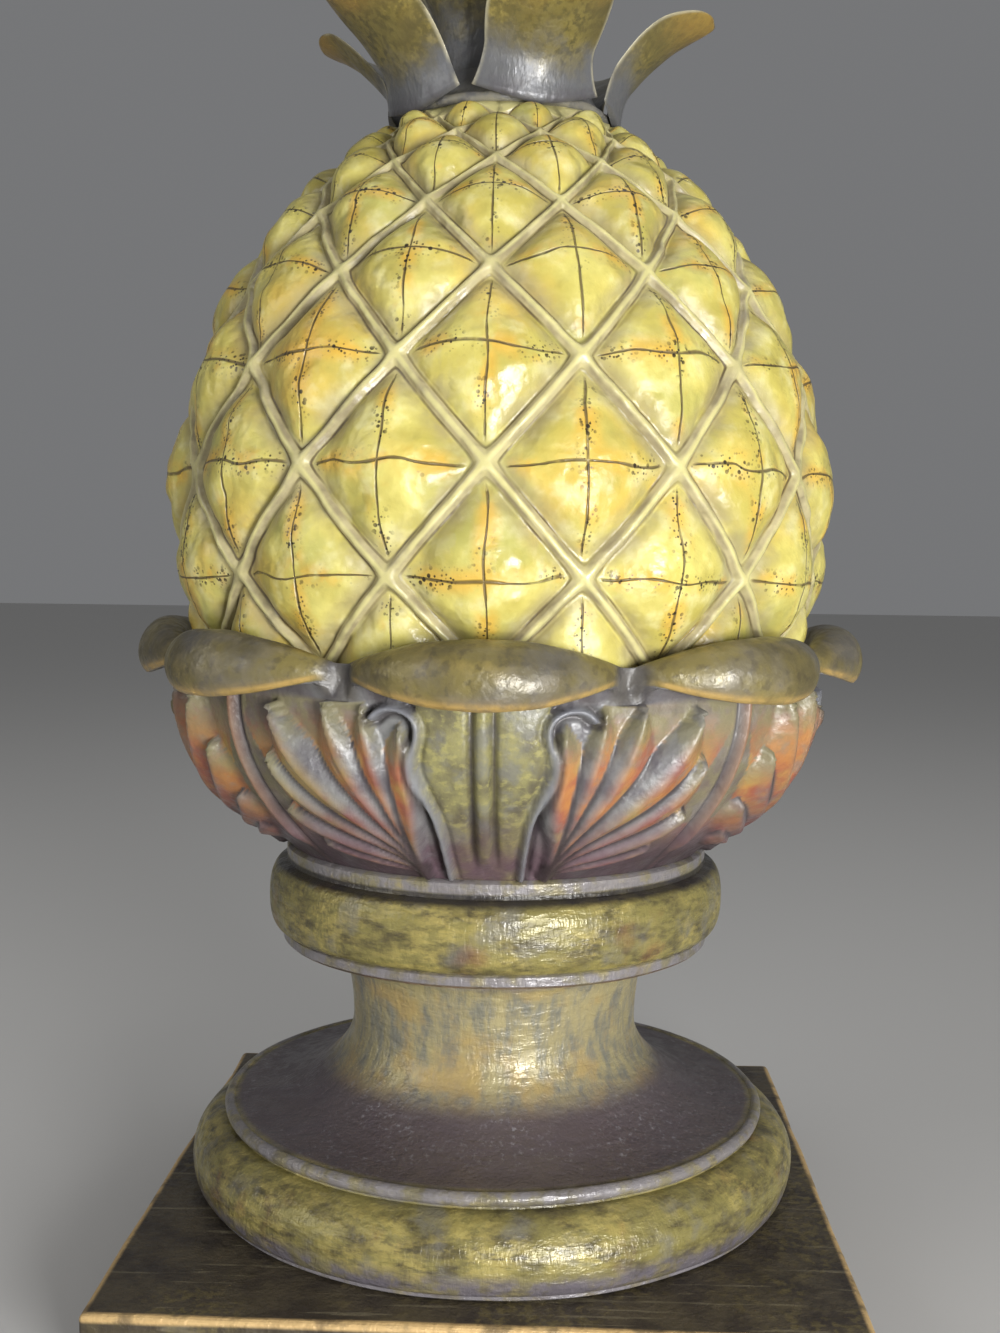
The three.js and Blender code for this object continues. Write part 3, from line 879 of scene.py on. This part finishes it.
def make_row(row):
    """One cushion with half of each strap, in the row's own place at the front."""
    pillow = add_grid(f"cushion_row_{row}", patch_cells, patch_cells)
    evenly = (0, 8 / 14, 11 / 14, 1)
    crowded = (0, 0.82, 0.91, 1)
    p, q = (share * 2 - 1 for share in grid_shares(pillow))
    p = np.sign(p) * np.interp(np.abs(p), evenly, crowded)
    q = np.sign(q) * np.interp(np.abs(q), evenly, crowded)
    rows_at = row + (p - q) / 2
    z = row_height(rows_at)
    thin = np.where(rows_at > lattice_rows, 1 - 0.8 * smooth(0, 0.8, rows_at - lattice_rows), 1)
    depth = pillow_depth(p, q) * thin
    radius, height = lifted(fruit_outline, z, -depth)
    set_points(pillow, on_axis(radius, (p + q) / 2 * half_column, height))
    edge, crossing = strap_edge(p, q)
    bow = line_bow * smooth(1.5, 5, row) * (1 - (p + q) ** 2 / 4)
    store(pillow, edge=edge, upright=p + q, level=p - q - bow, crossing=crossing)
    return pillow


# %% All the rows, copied round the fruit
def extrude_edges():
    bpy.ops.object.mode_set(mode="EDIT")
    bpy.ops.mesh.extrude_edges_move()
    edit_done()


def close_ends(fruit):
    """Draws the two open zigzag ends in to flat discs, inside the cup and under the crown."""
    extrude_edges()
    for vertex in fruit.data.vertices:
        if vertex.select:
            low = vertex.co.z < equator_z * mm
            wanted = float(fruit_outline(fruit_seat_z)) * 0.97 if low else crown_seat_radius
            size = math.hypot(vertex.co.x, vertex.co.y)
            vertex.co.x *= wanted * mm / size
            vertex.co.y *= wanted * mm / size
            vertex.co.z = (fruit_seat_z if low else fruit_top_z) * mm
    extrude_edges()
    for vertex in fruit.data.vertices:
        if vertex.select:
            vertex.co.x = 0
            vertex.co.y = 0


def make_fruit():
    copies = []
    for row in range(lattice_rows + 1):
        pillow = make_row(row)
        for i in range(lattice_columns):
            copy = pillow.copy()
            copy.data = pillow.data.copy()
            scene.collection.objects.link(copy)
            degrees = (i + (row + 1) % 2 / 2) * 2 * half_column
            copy.data.transform(Matrix.Rotation(math.radians(degrees), 4, "Z"))
            copies.append(copy)
        bpy.data.objects.remove(pillow)
    fruit = join_pieces("pineapple_fruit", copies)
    edit_all()
    bpy.ops.mesh.remove_doubles(threshold=0.02 * mm)
    bpy.ops.mesh.select_all(action="DESELECT")
    bpy.ops.mesh.select_non_manifold()
    edit_done()
    close_ends(fruit)
    spots = read_points(fruit)
    dents = smooth(-0.3, 1, ripple(spots, 7, 21)) * 0.22 + smooth(-0.5, 1, ripple(spots, 12, 22)) * 0.8
    spots[:, :2] *= (1 - dents / np.maximum(np.hypot(spots[:, 0], spots[:, 1]), 20))[:, None]
    set_points(fruit, spots)
    close_up(fruit)
    return fruit


fruit = make_fruit()
print("fruit points:", len(fruit.data.vertices))

# %% [markdown]
# ## Crown
# Four rings of leaves grow from a short core, the outer ones arching over and the inner ones
# standing. A leaf is a grid wrapped round its own thin section: broad, dished like a gutter, with
# rounded edges, and closed to a blunt tip. Its root flares and reaches down over the shoulder of
# the fruit. Each leaf has its own slight waves, because the originals were modelled by hand.

# %% Crown leaves
leaf_thickness = 3.0
leaf_curl = 0.24
leaf_widest = 0.55
root_share = 0.28
front_leaf_spread = 12
leaf_sizes = "count turn foot lift length width belly lean arch reach drop flare".split()
crown_rings = [
    dict(zip(leaf_sizes, ring))
    for ring in (
        (6, 19, 21.5, 1.5, 33.8, 22, 27, 38, 77, 3.4, 3.0, 8),
        (6, -30, 13, 9, 48, 12, 24, 22, 62, 5.0, 5.5, 12),
        (5, 0, 7, 22, 52, 8, 19, 9, 38, 0, 0, 4),
        (3, 25, 3, 38, 53, 5, 12, 3, 16, 0, 0, 0),
    )
]
leaf_cells = 44
print("crown leaves:", sum(ring["count"] for ring in crown_rings))


def make_crown_leaf(name, leaf, degrees, seed):
    blade = add_grid(name, leaf_cells, leaf_cells)
    across, along = grid_shares(blade)
    fine = np.linspace(0, 1, 201)
    bends = np.radians(leaf["lean"] + (leaf["arch"] - leaf["lean"]) * fine**2)
    steps = leaf["length"] / 200
    path_r = leaf["foot"] + running(np.sin(bends[1:]) * steps)
    path_z = crown_z + leaf["lift"] + running(np.cos(bends[1:]) * steps)
    share = along**0.85
    bend = np.interp(share, fine, bends)
    radius, height = np.interp(share, fine, path_r), np.interp(share, fine, path_z)
    root = np.maximum(1 - share / root_share, 0) ** 1.5
    radius += root * leaf["reach"]
    height -= root * leaf["drop"]
    past = np.maximum(share - leaf_widest, 0) / (1 - leaf_widest)
    closing = np.sqrt(np.clip(1.003 - past**2, 0, 1))
    swell = smooth(0, leaf_widest, share) * (leaf["belly"] - leaf["width"])
    half = (leaf["width"] + swell + leaf["flare"] * root) / 2 * closing
    thick = leaf_thickness * (1 - 0.4 * share) * np.minimum(closing * 1.6, 1)
    turned_round = across * 2 * np.pi
    x = np.sign(np.cos(turned_round)) * np.abs(np.cos(turned_round)) ** 0.8
    face = np.sin(turned_round) * np.sqrt(np.clip(1 - 0.35 * x**4, 0, 1))
    lift = -leaf_curl * half * x**2 + face * thick * (1 - 0.4 * x**2) / 2
    ends = (along < 1e-6) | (along > 1 - 1e-6)
    x = np.where(ends, 0, x)
    lift = np.where(ends, 0, lift)
    middle = on_axis(radius + lift * np.cos(bend), degrees, height - lift * np.sin(bend))
    sideways = np.array([math.cos(math.radians(degrees)), math.sin(math.radians(degrees)), 0])
    points = middle + (x * half)[:, None] * sideways
    wave = ripple(points, 16, seed) * 0.3 * np.abs(x) + ripple(points, 9, seed + 1) * 0.1
    points[:, 2] += wave * smooth(0.1, 0.4, share)
    set_points(blade, points)
    store(blade, along=share, rim=np.abs(x) ** 3, inner=smooth(0.3, -0.3, face), bedding=np.zeros(len(x)))
    close_up(blade)
    return blade


# %% The core under the leaves
core_rows = 26
core_taper = (21, 19.5, 18, 16, 14, 12, 10, 8.5, 7, 5.5, 4.5, 3.8, 3, 2, 1)
core_height = 46.7


def core_outline():
    """The bedding's rounded rim, then the core's taper, from the axis below to the axis above."""
    outline = [(0, crown_z), *arc(22.6, crown_z + 0.6, 1.5, 1.3, -60, 90, 9)]
    rise = np.linspace(3.6, core_height, len(core_taper))
    outline += [(r, crown_z + up) for r, up in zip(core_taper, rise)]
    outline += [(0, crown_z + core_height)] * (core_rows + 1 - len(outline))
    return np.array(outline)


def make_crown_foot():
    """The core, with the lumpy pale bedding that sets the crown on the fruit."""
    core = add_grid("crown_foot", 120, core_rows)
    across, along = grid_shares(core)
    radius, height = core_outline()[np.rint(along * core_rows).astype(int)].T
    points = on_axis(radius, across * 360, height)
    bedding = smooth(crown_z + 4, crown_z + 2.6, height)
    lumps = (ripple(points, 8, 31) * 0.5 + ripple(points, 3.5, 32) * 0.2) * bedding
    points[:, :2] *= (1 + lumps * np.minimum(radius / 10, 1) / 24)[:, None]
    set_points(core, points)
    nowhere = np.zeros(len(radius))
    store(core, along=nowhere + 0.08, rim=nowhere, inner=nowhere, bedding=bedding)
    close_up(core)
    return core


def make_crown():
    parts = []
    for ring, leaf in enumerate(crown_rings):
        for i in range(leaf["count"]):
            around = i * 360 / leaf["count"]
            spread = front_leaf_spread * math.sin(math.radians(around)) if ring == 0 else 0
            name = f"crown_leaf_{ring}_{i}"
            parts.append(make_crown_leaf(name, leaf, leaf["turn"] + around + spread, 40 + 7 * ring + i))
    return join_pieces("crown_leaves", [*parts, make_crown_foot()])


crown = make_crown()
print("crown points:", len(crown.data.vertices))

# %% [markdown]
# ## Fruit paint
# The fruit is painted a satin lemon cream. Ochre was rubbed on in soft patches and sprayed along
# the two incised lines of each cushion, and a taupe wash stayed on the sides of the straps. Each
# cushion also darkens to taupe towards its straps, partly that wash and partly painted shade where
# the cushion falls to the strap. Black fly specks, flicked from a brush, lie thickest along the lines.

# %% Coats on the cushions and the straps
ochre = (0.62, 0.41, 0.07)
leaf_green = (0.34, 0.34, 0.10)
pale_cream = (0.72, 0.69, 0.42)
orange_spray = (0.66, 0.38, 0.05)
taupe_wash_and_shade = (0.33, 0.28, 0.155)
strap_cream = (0.60, 0.55, 0.23)
strap_shadow = (0.09, 0.062, 0.032)
incised_brown = (0.115, 0.082, 0.034)
speck_black = (0.030, 0.020, 0.010)


def cushion_coats(edge, line):
    return coats(
        coat((0.46, 0.39, 0.088), (0.62, 0.55, 0.155), noise(12, 0.35, 0.65)),
        (ochre, noise(28, 0.47, 0.64), 0.65),
        (leaf_green, noise(20, 0.5, 0.66), 0.55),
        (pale_cream, noise(6, 0.5, 0.72), 0.4),
        (orange_spray, fade(line, 0.36, 0.04), noise(10, 0.46, 0.6), fade(edge, 0.12, 0.3), 0.7),
        # taupe towards the straps: partly a taupe wash, partly painted shade where the cushion falls to the
        # strap
        (taupe_wash_and_shade, fade(edge, 0.42, 0.12), noise(9, 0.3, 0.6), 0.75),
    )


def strap_coats(skin, edge):
    tone = coat((0.28, 0.235, 0.135), (0.46, 0.40, 0.22), noise(7, 0.35, 0.62))
    top = times(fade(edge, 0.055, 0.015), noise(10, 0.28, 0.55))
    top = math_node("MAXIMUM", top, times(stored("crossing"), 0.75))
    foot = times(fade(edge, 0.078, 0.096), fade(edge, 0.135, 0.105))
    return coats(
        skin,
        (tone, fade(edge, 0.10, 0.075)),
        (strap_cream, top, 0.8),
        (strap_shadow, foot, patchy(14, 0.3, 0.7, 0.3, 0.95)),
    )


def fly_specks(size, low, high):
    cells = add_node("ShaderNodeTexVoronoi", {"Vector": object_place(), "Scale": 1 / (size * mm)})
    chosen = fade(cells.outputs["Color"], low, high)
    return times(fade(cells.outputs["Distance"], 0.36, 0.25), chosen)


def line_distance(name, size):
    """Distance from one incised line of a cushion, which the hand let wander a little."""
    wander = patchy(size, 0.3, 0.7, -0.07, 0.07, detail=1)
    return math_node("ABSOLUTE", math_node("ADD", stored(name), wander))


# %% Fruit paint
def make_fruit_paint():
    new_paint("fruit_lemon_and_ochre", 0.4, 0.0)
    edge = stored("edge")
    line = math_node("MINIMUM", line_distance("upright", 26), line_distance("level", 21))
    width = patchy(8, 0.3, 0.7, 0.02, 0.048)
    broken = patchy(5, 0.25, 0.5, 0.55, 1)
    incised = times(fade(line, width, 0.006), fade(edge, 0.14, 0.22), broken)
    along_lines = times(fade(line, 0.34, 0.02), noise(11, 0.42, 0.55))
    specks = math_node("MAXIMUM", fly_specks(1.4, 0.4, 0.5), fly_specks(0.8, 0.38, 0.48))
    skin = coats(
        strap_coats(cushion_coats(edge, line), edge),
        (incised_brown, incised, 0.9),
        (speck_black, specks, along_lines, fade(edge, 0.13, 0.2)),
    )
    brushed, dented = noise(2.2, 0.3, 0.7, 3), noise(8, 0.3, 0.7, 2)
    rough = patchy(6, 0.3, 0.7, 0.28, 0.46)
    return finish_paint(skin, rough, (incised, -0.35), (brushed, 0.06), (dented, 0.45))


finish_piece(fruit, make_fruit_paint(), "fruit_paint", "fruit")

# %% [markdown]
# ## Bronze green paint
# The pedestal was painted dark purple-brown, then dragged with olive and old gold in short brush
# strokes, so it looks mottled. As the metallic paint dried it drew together in fine upright
# wrinkles, which only show where the light catches them. The neck is more golden, the dish kept
# its dark ground and some dust, and the fillets were rubbed with a pale lavender grey. A violet band
# runs round the bottom of the foot, and the same violet darkens the top of the neck as painted shade
# under the collar.

# %% Bronze green paint
olive_dark = (0.075, 0.062, 0.030)
olive = (0.22, 0.19, 0.062)
old_gold = (0.38, 0.31, 0.095)
stone_grey = (0.16, 0.155, 0.145)
rust = (0.19, 0.08, 0.035)
neck_gold = (0.42, 0.29, 0.10)
purple_brown = (0.098, 0.078, 0.088)
dust_grey = (0.30, 0.29, 0.31)
violet_and_collar_shade = (0.145, 0.13, 0.155)
lavender_grey = (0.21, 0.195, 0.205)
amber = (0.24, 0.12, 0.045)
seam_black = (0.018, 0.016, 0.021)
level_strokes = (0.55, 0.55, 1.5)
upright_lines = (1, 1, 0.3)


def make_turned_paint():
    new_paint("pedestal_olive_and_gold", 0.36, 0.12)
    dragged = dict(stretch=level_strokes, rough=0.65)
    neck = coat((0.175, 0.175, 0.15), (0.345, 0.295, 0.155), noise(3, 0.34, 0.62, 5, upright_lines, 0.65))
    neck = coat(neck, neck_gold, noise(12, 0.47, 0.64), 0.7)
    dust = times(noise(1.1, 0.54, 0.68, 5, rough=0.7), noise(14, 0.36, 0.6))
    dish = stored("dish")
    worn = patchy(5, 0.35, 0.6, 0.35, 0.9, detail=5)
    skin = coats(
        coat(olive_dark, olive, noise(5, 0.34, 0.6, 6, **dragged)),
        (old_gold, noise(15, 0.4, 0.62), noise(2.2, 0.38, 0.62, 5, **dragged), 0.8),
        (stone_grey, noise(10, 0.52, 0.7), 0.55),
        (rust, noise(17, 0.57, 0.7), 0.5),
        (neck, "neck", 0.85),
        (purple_brown, dish, 0.95),
        (dust_grey, dust, dish, 0.6),
        # violet at the bottom of the foot, and painted shade at the top of the neck under the collar
        (violet_and_collar_shade, "low", worn),
        (lavender_grey, "fillet", worn),
        (amber, "amber", worn),
        (seam_black, "seam", 0.85),
    )
    strokes = noise(2.6, 0.35, 0.65, 3, level_strokes)
    wrinkles = noise(0.9, 0.35, 0.65, 2, upright_lines)
    return finish_paint(skin, fade(strokes, 0, 1, 0.44, 0.28), (strokes, 0.12), (wrinkles, 0.05))


finish_piece(turned, make_turned_paint(), "bronze_green_paint", "pedestal")

# %% [markdown]
# ## Acanthus paint
# The carving was picked out by hand over a blue-grey ground, which still shows on one side of every
# lobe: coral and amber on the other, olive at the tips, violet brown at the roots, and near black in
# the cuts, partly a dark wash and partly painted shade. The lips above have the bronze green of the
# pedestal. Their undersides and the gaps between them are painted dark as painted shade.

# %% Coats on the carving and the lips
leaf_fleck = (0.34, 0.31, 0.11)
leaf_grey = (0.15, 0.15, 0.145)
warm_amber = (0.42, 0.29, 0.07)
warm_grey = (0.20, 0.18, 0.16)
tip_olive = (0.21, 0.19, 0.095)
rib_brown = (0.27, 0.14, 0.065)
root_violet = (0.12, 0.07, 0.088)
strand_blue = (0.185, 0.19, 0.21)
wash_and_shade_black = (0.03, 0.022, 0.023)


def carving_coats():
    leaf = coats(
        coat((0.105, 0.092, 0.058), (0.25, 0.23, 0.095), noise(4, 0.3, 0.68, 6, (0.8, 0.8, 0.6))),
        (leaf_fleck, noise(1.4, 0.5, 0.66, stretch=(0.7, 0.7, 1)), 0.6),
        (leaf_grey, noise(7, 0.48, 0.64), 0.6),
    )
    warm = coats(
        coat((0.33, 0.09, 0.045), (0.44, 0.18, 0.045), noise(9, 0.38, 0.6)),
        (warm_amber, noise(16, 0.5, 0.64), 0.9),
        (warm_grey, noise(6, 0.5, 0.66), 0.5),
    )
    return coats(
        coat((0.095, 0.088, 0.098), (0.19, 0.19, 0.185), noise(7, 0.34, 0.64)),
        (leaf, "plain"),
        (warm, "warm", 0.92),
        (tip_olive, "tips", patchy(5, 0.35, 0.6, 0.25, 0.8)),
        (rib_brown, "rib", 0.8),
        (root_violet, "base", patchy(8, 0.3, 0.6, 0.5, 0.9)),
        (strand_blue, "strand", 0.8),
        # near black in the cuts: partly a dark wash, partly painted shade in valleys and grooves
        (wash_and_shade_black, "cut", 0.8),
    )


def lip_coats():
    return coats(
        coat((0.10, 0.082, 0.036), (0.185, 0.15, 0.05), noise(12, 0.34, 0.66, 5)),
        ((0.26, 0.20, 0.06), noise(5, 0.48, 0.7, 5), 0.6),
        ((0.055, 0.045, 0.027), noise(2.6, 0.52, 0.66), 0.5),
        ((0.12, 0.115, 0.115), noise(20, 0.46, 0.62), 0.6),
    )


# %% Acanthus paint
def make_cup_paint():
    new_paint("cup_coral_and_violet", 0.42, 0.1)
    lip = stored("lip")
    skin = coats(
        carving_coats(),
        # painted shade under the lips
        ((0.085, 0.072, 0.072), "underside", 0.85),
        # painted shade in the gap between two lips
        (coat((0.045, 0.040, 0.042), (0.10, 0.092, 0.082), noise(5, 0.34, 0.64)), "gap"),
        (lip_coats(), lip),
        ((0.46, 0.30, 0.09), "lip_edge", patchy(4, 0.3, 0.6, 0.45, 1)),
    )
    rough = patchy(3, 0.35, 0.65, 0.46, 0.32)
    coarse, fine = noise(5, 0.35, 0.65, 2), noise(1.1, 0.35, 0.65, 3)
    return finish_paint(skin, rough, (coarse, 0.12), (fine, 0.035), Metallic=fade(lip, 0, 1, 0.02, 0.12))


finish_piece(cup, make_cup_paint(), "bronze_green_paint", "pedestal")

# %% [markdown]
# ## Crown paint
# The leaves are olive gold with a fine dark mottling, and fade to a blue grey at their roots, where
# the light catches them. Right at the roots and on the core they are darker, as painted shade where
# the leaves crowd onto the fruit. Outside, towards the tips, the gold turns to orange, and the edges
# are rubbed to a thin pale line, which is also a painted highlight along every edge.

# %% Crown paint
def make_crown_paint():
    new_paint("crown_olive_and_grey", 0.36, 0.15)
    along = math_node("ADD", stored("along"), patchy(8, 0.3, 0.7, -0.07, 0.07, detail=6))
    inner = stored("inner")
    outside = math_node("SUBTRACT", 1.0, inner)
    skin = coats(
        coat((0.12, 0.098, 0.036), (0.215, 0.175, 0.05), noise(14, 0.32, 0.66)),
        ((0.34, 0.27, 0.075), noise(1.3, 0.42, 0.62), noise(18, 0.4, 0.62), 0.7),
        ((0.055, 0.048, 0.024), noise(1.7, 0.46, 0.62), noise(14, 0.35, 0.6), 0.65),
        ((0.42, 0.25, 0.05), outside, fade(along, 0.5, 1.0), 0.6),
        ((0.15, 0.155, 0.16), inner, 0.6),
        ((0.135, 0.14, 0.155), fade(along, 0.46, 0.12), 0.9),
        # painted shade right at the leaves' roots and on the core, where the leaves crowd onto the fruit
        ((0.075, 0.066, 0.074), fade(along, 0.12, -0.05), 0.6),
        # thin pale edge line: partly rubbed paint, partly a painted highlight
        ((0.50, 0.46, 0.32), fade(stored("rim"), 0.8, 0.98), noise(9, 0.35, 0.55), 0.7),
        ((0.27, 0.25, 0.19), "bedding", patchy(4, 0.35, 0.65, 0.1, 0.8)),
    )
    coarse, wrinkles = noise(6, 0.35, 0.65, 3), noise(1.0, 0.35, 0.65, 2, upright_lines)
    rough = patchy(4, 0.35, 0.65, 0.42, 0.28)
    return finish_paint(skin, rough, (coarse, 0.12), (wrinkles, 0.035))


finish_piece(crown, make_crown_paint(), "crown_paint", "crown")

# %% [markdown]
# ## Plinth paint
# The plinth has the same dark ground with little gold on it. The arris of its top is painted bright
# gold, partly as paint rubbed through to bare gold and partly as a painted highlight along the edge.
# Fine scratches cross its face. The arris is found by its place, close under the top and close to
# the slab's outer faces.

# %% Plinth paint
arris_start = 2.1
arris_full = 1.1


def arris_wear_and_highlight():
    place = add_node("ShaderNodeSeparateXYZ", {"Vector": object_place()})
    out = math_node("MAXIMUM", *(math_node("ABSOLUTE", place.outputs[axis]) for axis in "XY"))
    outer = fade(out, (plinth_half - arris_start) * mm, (plinth_half - arris_full) * mm)
    upper = fade(place.outputs["Z"], (plinth_top - arris_start) * mm, (plinth_top - 1.2) * mm)
    return times(outer, upper)


def make_plinth_paint():
    new_paint("plinth_dark_purple_brown", 0.46, 0.25)
    skin = coats(
        coat((0.045, 0.035, 0.026), (0.085, 0.068, 0.042), noise(9, 0.36, 0.62)),
        ((0.17, 0.135, 0.05), noise(24, 0.45, 0.62), noise(2.2, 0.46, 0.6), 0.55),
        ((0.22, 0.19, 0.12), noise(3, 0.61, 0.67, 2, (0.12, 1.6, 1)), 0.5),
        # bright gold arris: partly rubbed through paint, partly a painted highlight along the edge
        ((0.60, 0.41, 0.18), arris_wear_and_highlight(), patchy(7, 0.3, 0.55, 0.35, 1)),
    )
    coarse, fine = noise(6, 0.35, 0.65, 3), noise(1.4, 0.35, 0.65, 5, rough=0.6)
    return finish_paint(skin, fade(fine, 0, 1, 0.6, 0.42), (coarse, 0.18), (fine, 0.07))


finish_piece(plinth, make_plinth_paint(), "plinth_paint", "plinth")

# %% [markdown]
# ## Floor and light
# A plain pale floor, and a soft lamp in front, low and a little to the right, so that the rounds
# shine half way up as they do in the photo. Weaker lamps from the left and from above keep the
# shaded sides readable.

# %% Floor and light
select_only()
bpy.ops.mesh.primitive_plane_add(size=8)
floor = new_piece("studio_floor")
floor_paint = new_paint("studio_floor_grey", 0.8, 0.0)
floor_shader = floor_paint.node_tree.nodes["Principled BSDF"]
floor_shader.inputs["Base Color"].default_value = (0.62, 0.61, 0.59, 1)
floor.data.materials.append(floor_paint)


def add_lamp(name, place, aim, size, power):
    light = bpy.data.lights.new(name, "AREA")
    light.size = size
    light.energy = power
    lamp = place_object(name, light)
    way = Vector(place) - Vector(aim)
    lamp.matrix_world = Matrix.Translation(place) @ way.to_track_quat("Z", "Y").to_matrix().to_4x4()
    print(f"{name}: {power} W, {way.length:.2f} m away")


add_lamp("front_lamp", (0.26, -0.56, 0.12), (0, 0, 0.15), 0.2, 4.7)
add_lamp("left_lamp", (-0.9, -0.5, 0.5), (0, 0, 0.17), 0.6, 2.5)
add_lamp("top_lamp", (0.1, 0.1, 1.1), (0, 0, 0.2), 0.8, 2.0)
world = bpy.data.worlds.new("studio_world")
world.use_nodes = True
sky = world.node_tree.nodes["Background"].inputs
sky["Color"].default_value = (0.75, 0.76, 0.78, 1)
sky["Strength"].default_value = 0.24
scene.world = world
scene.view_settings.view_transform = "Standard"
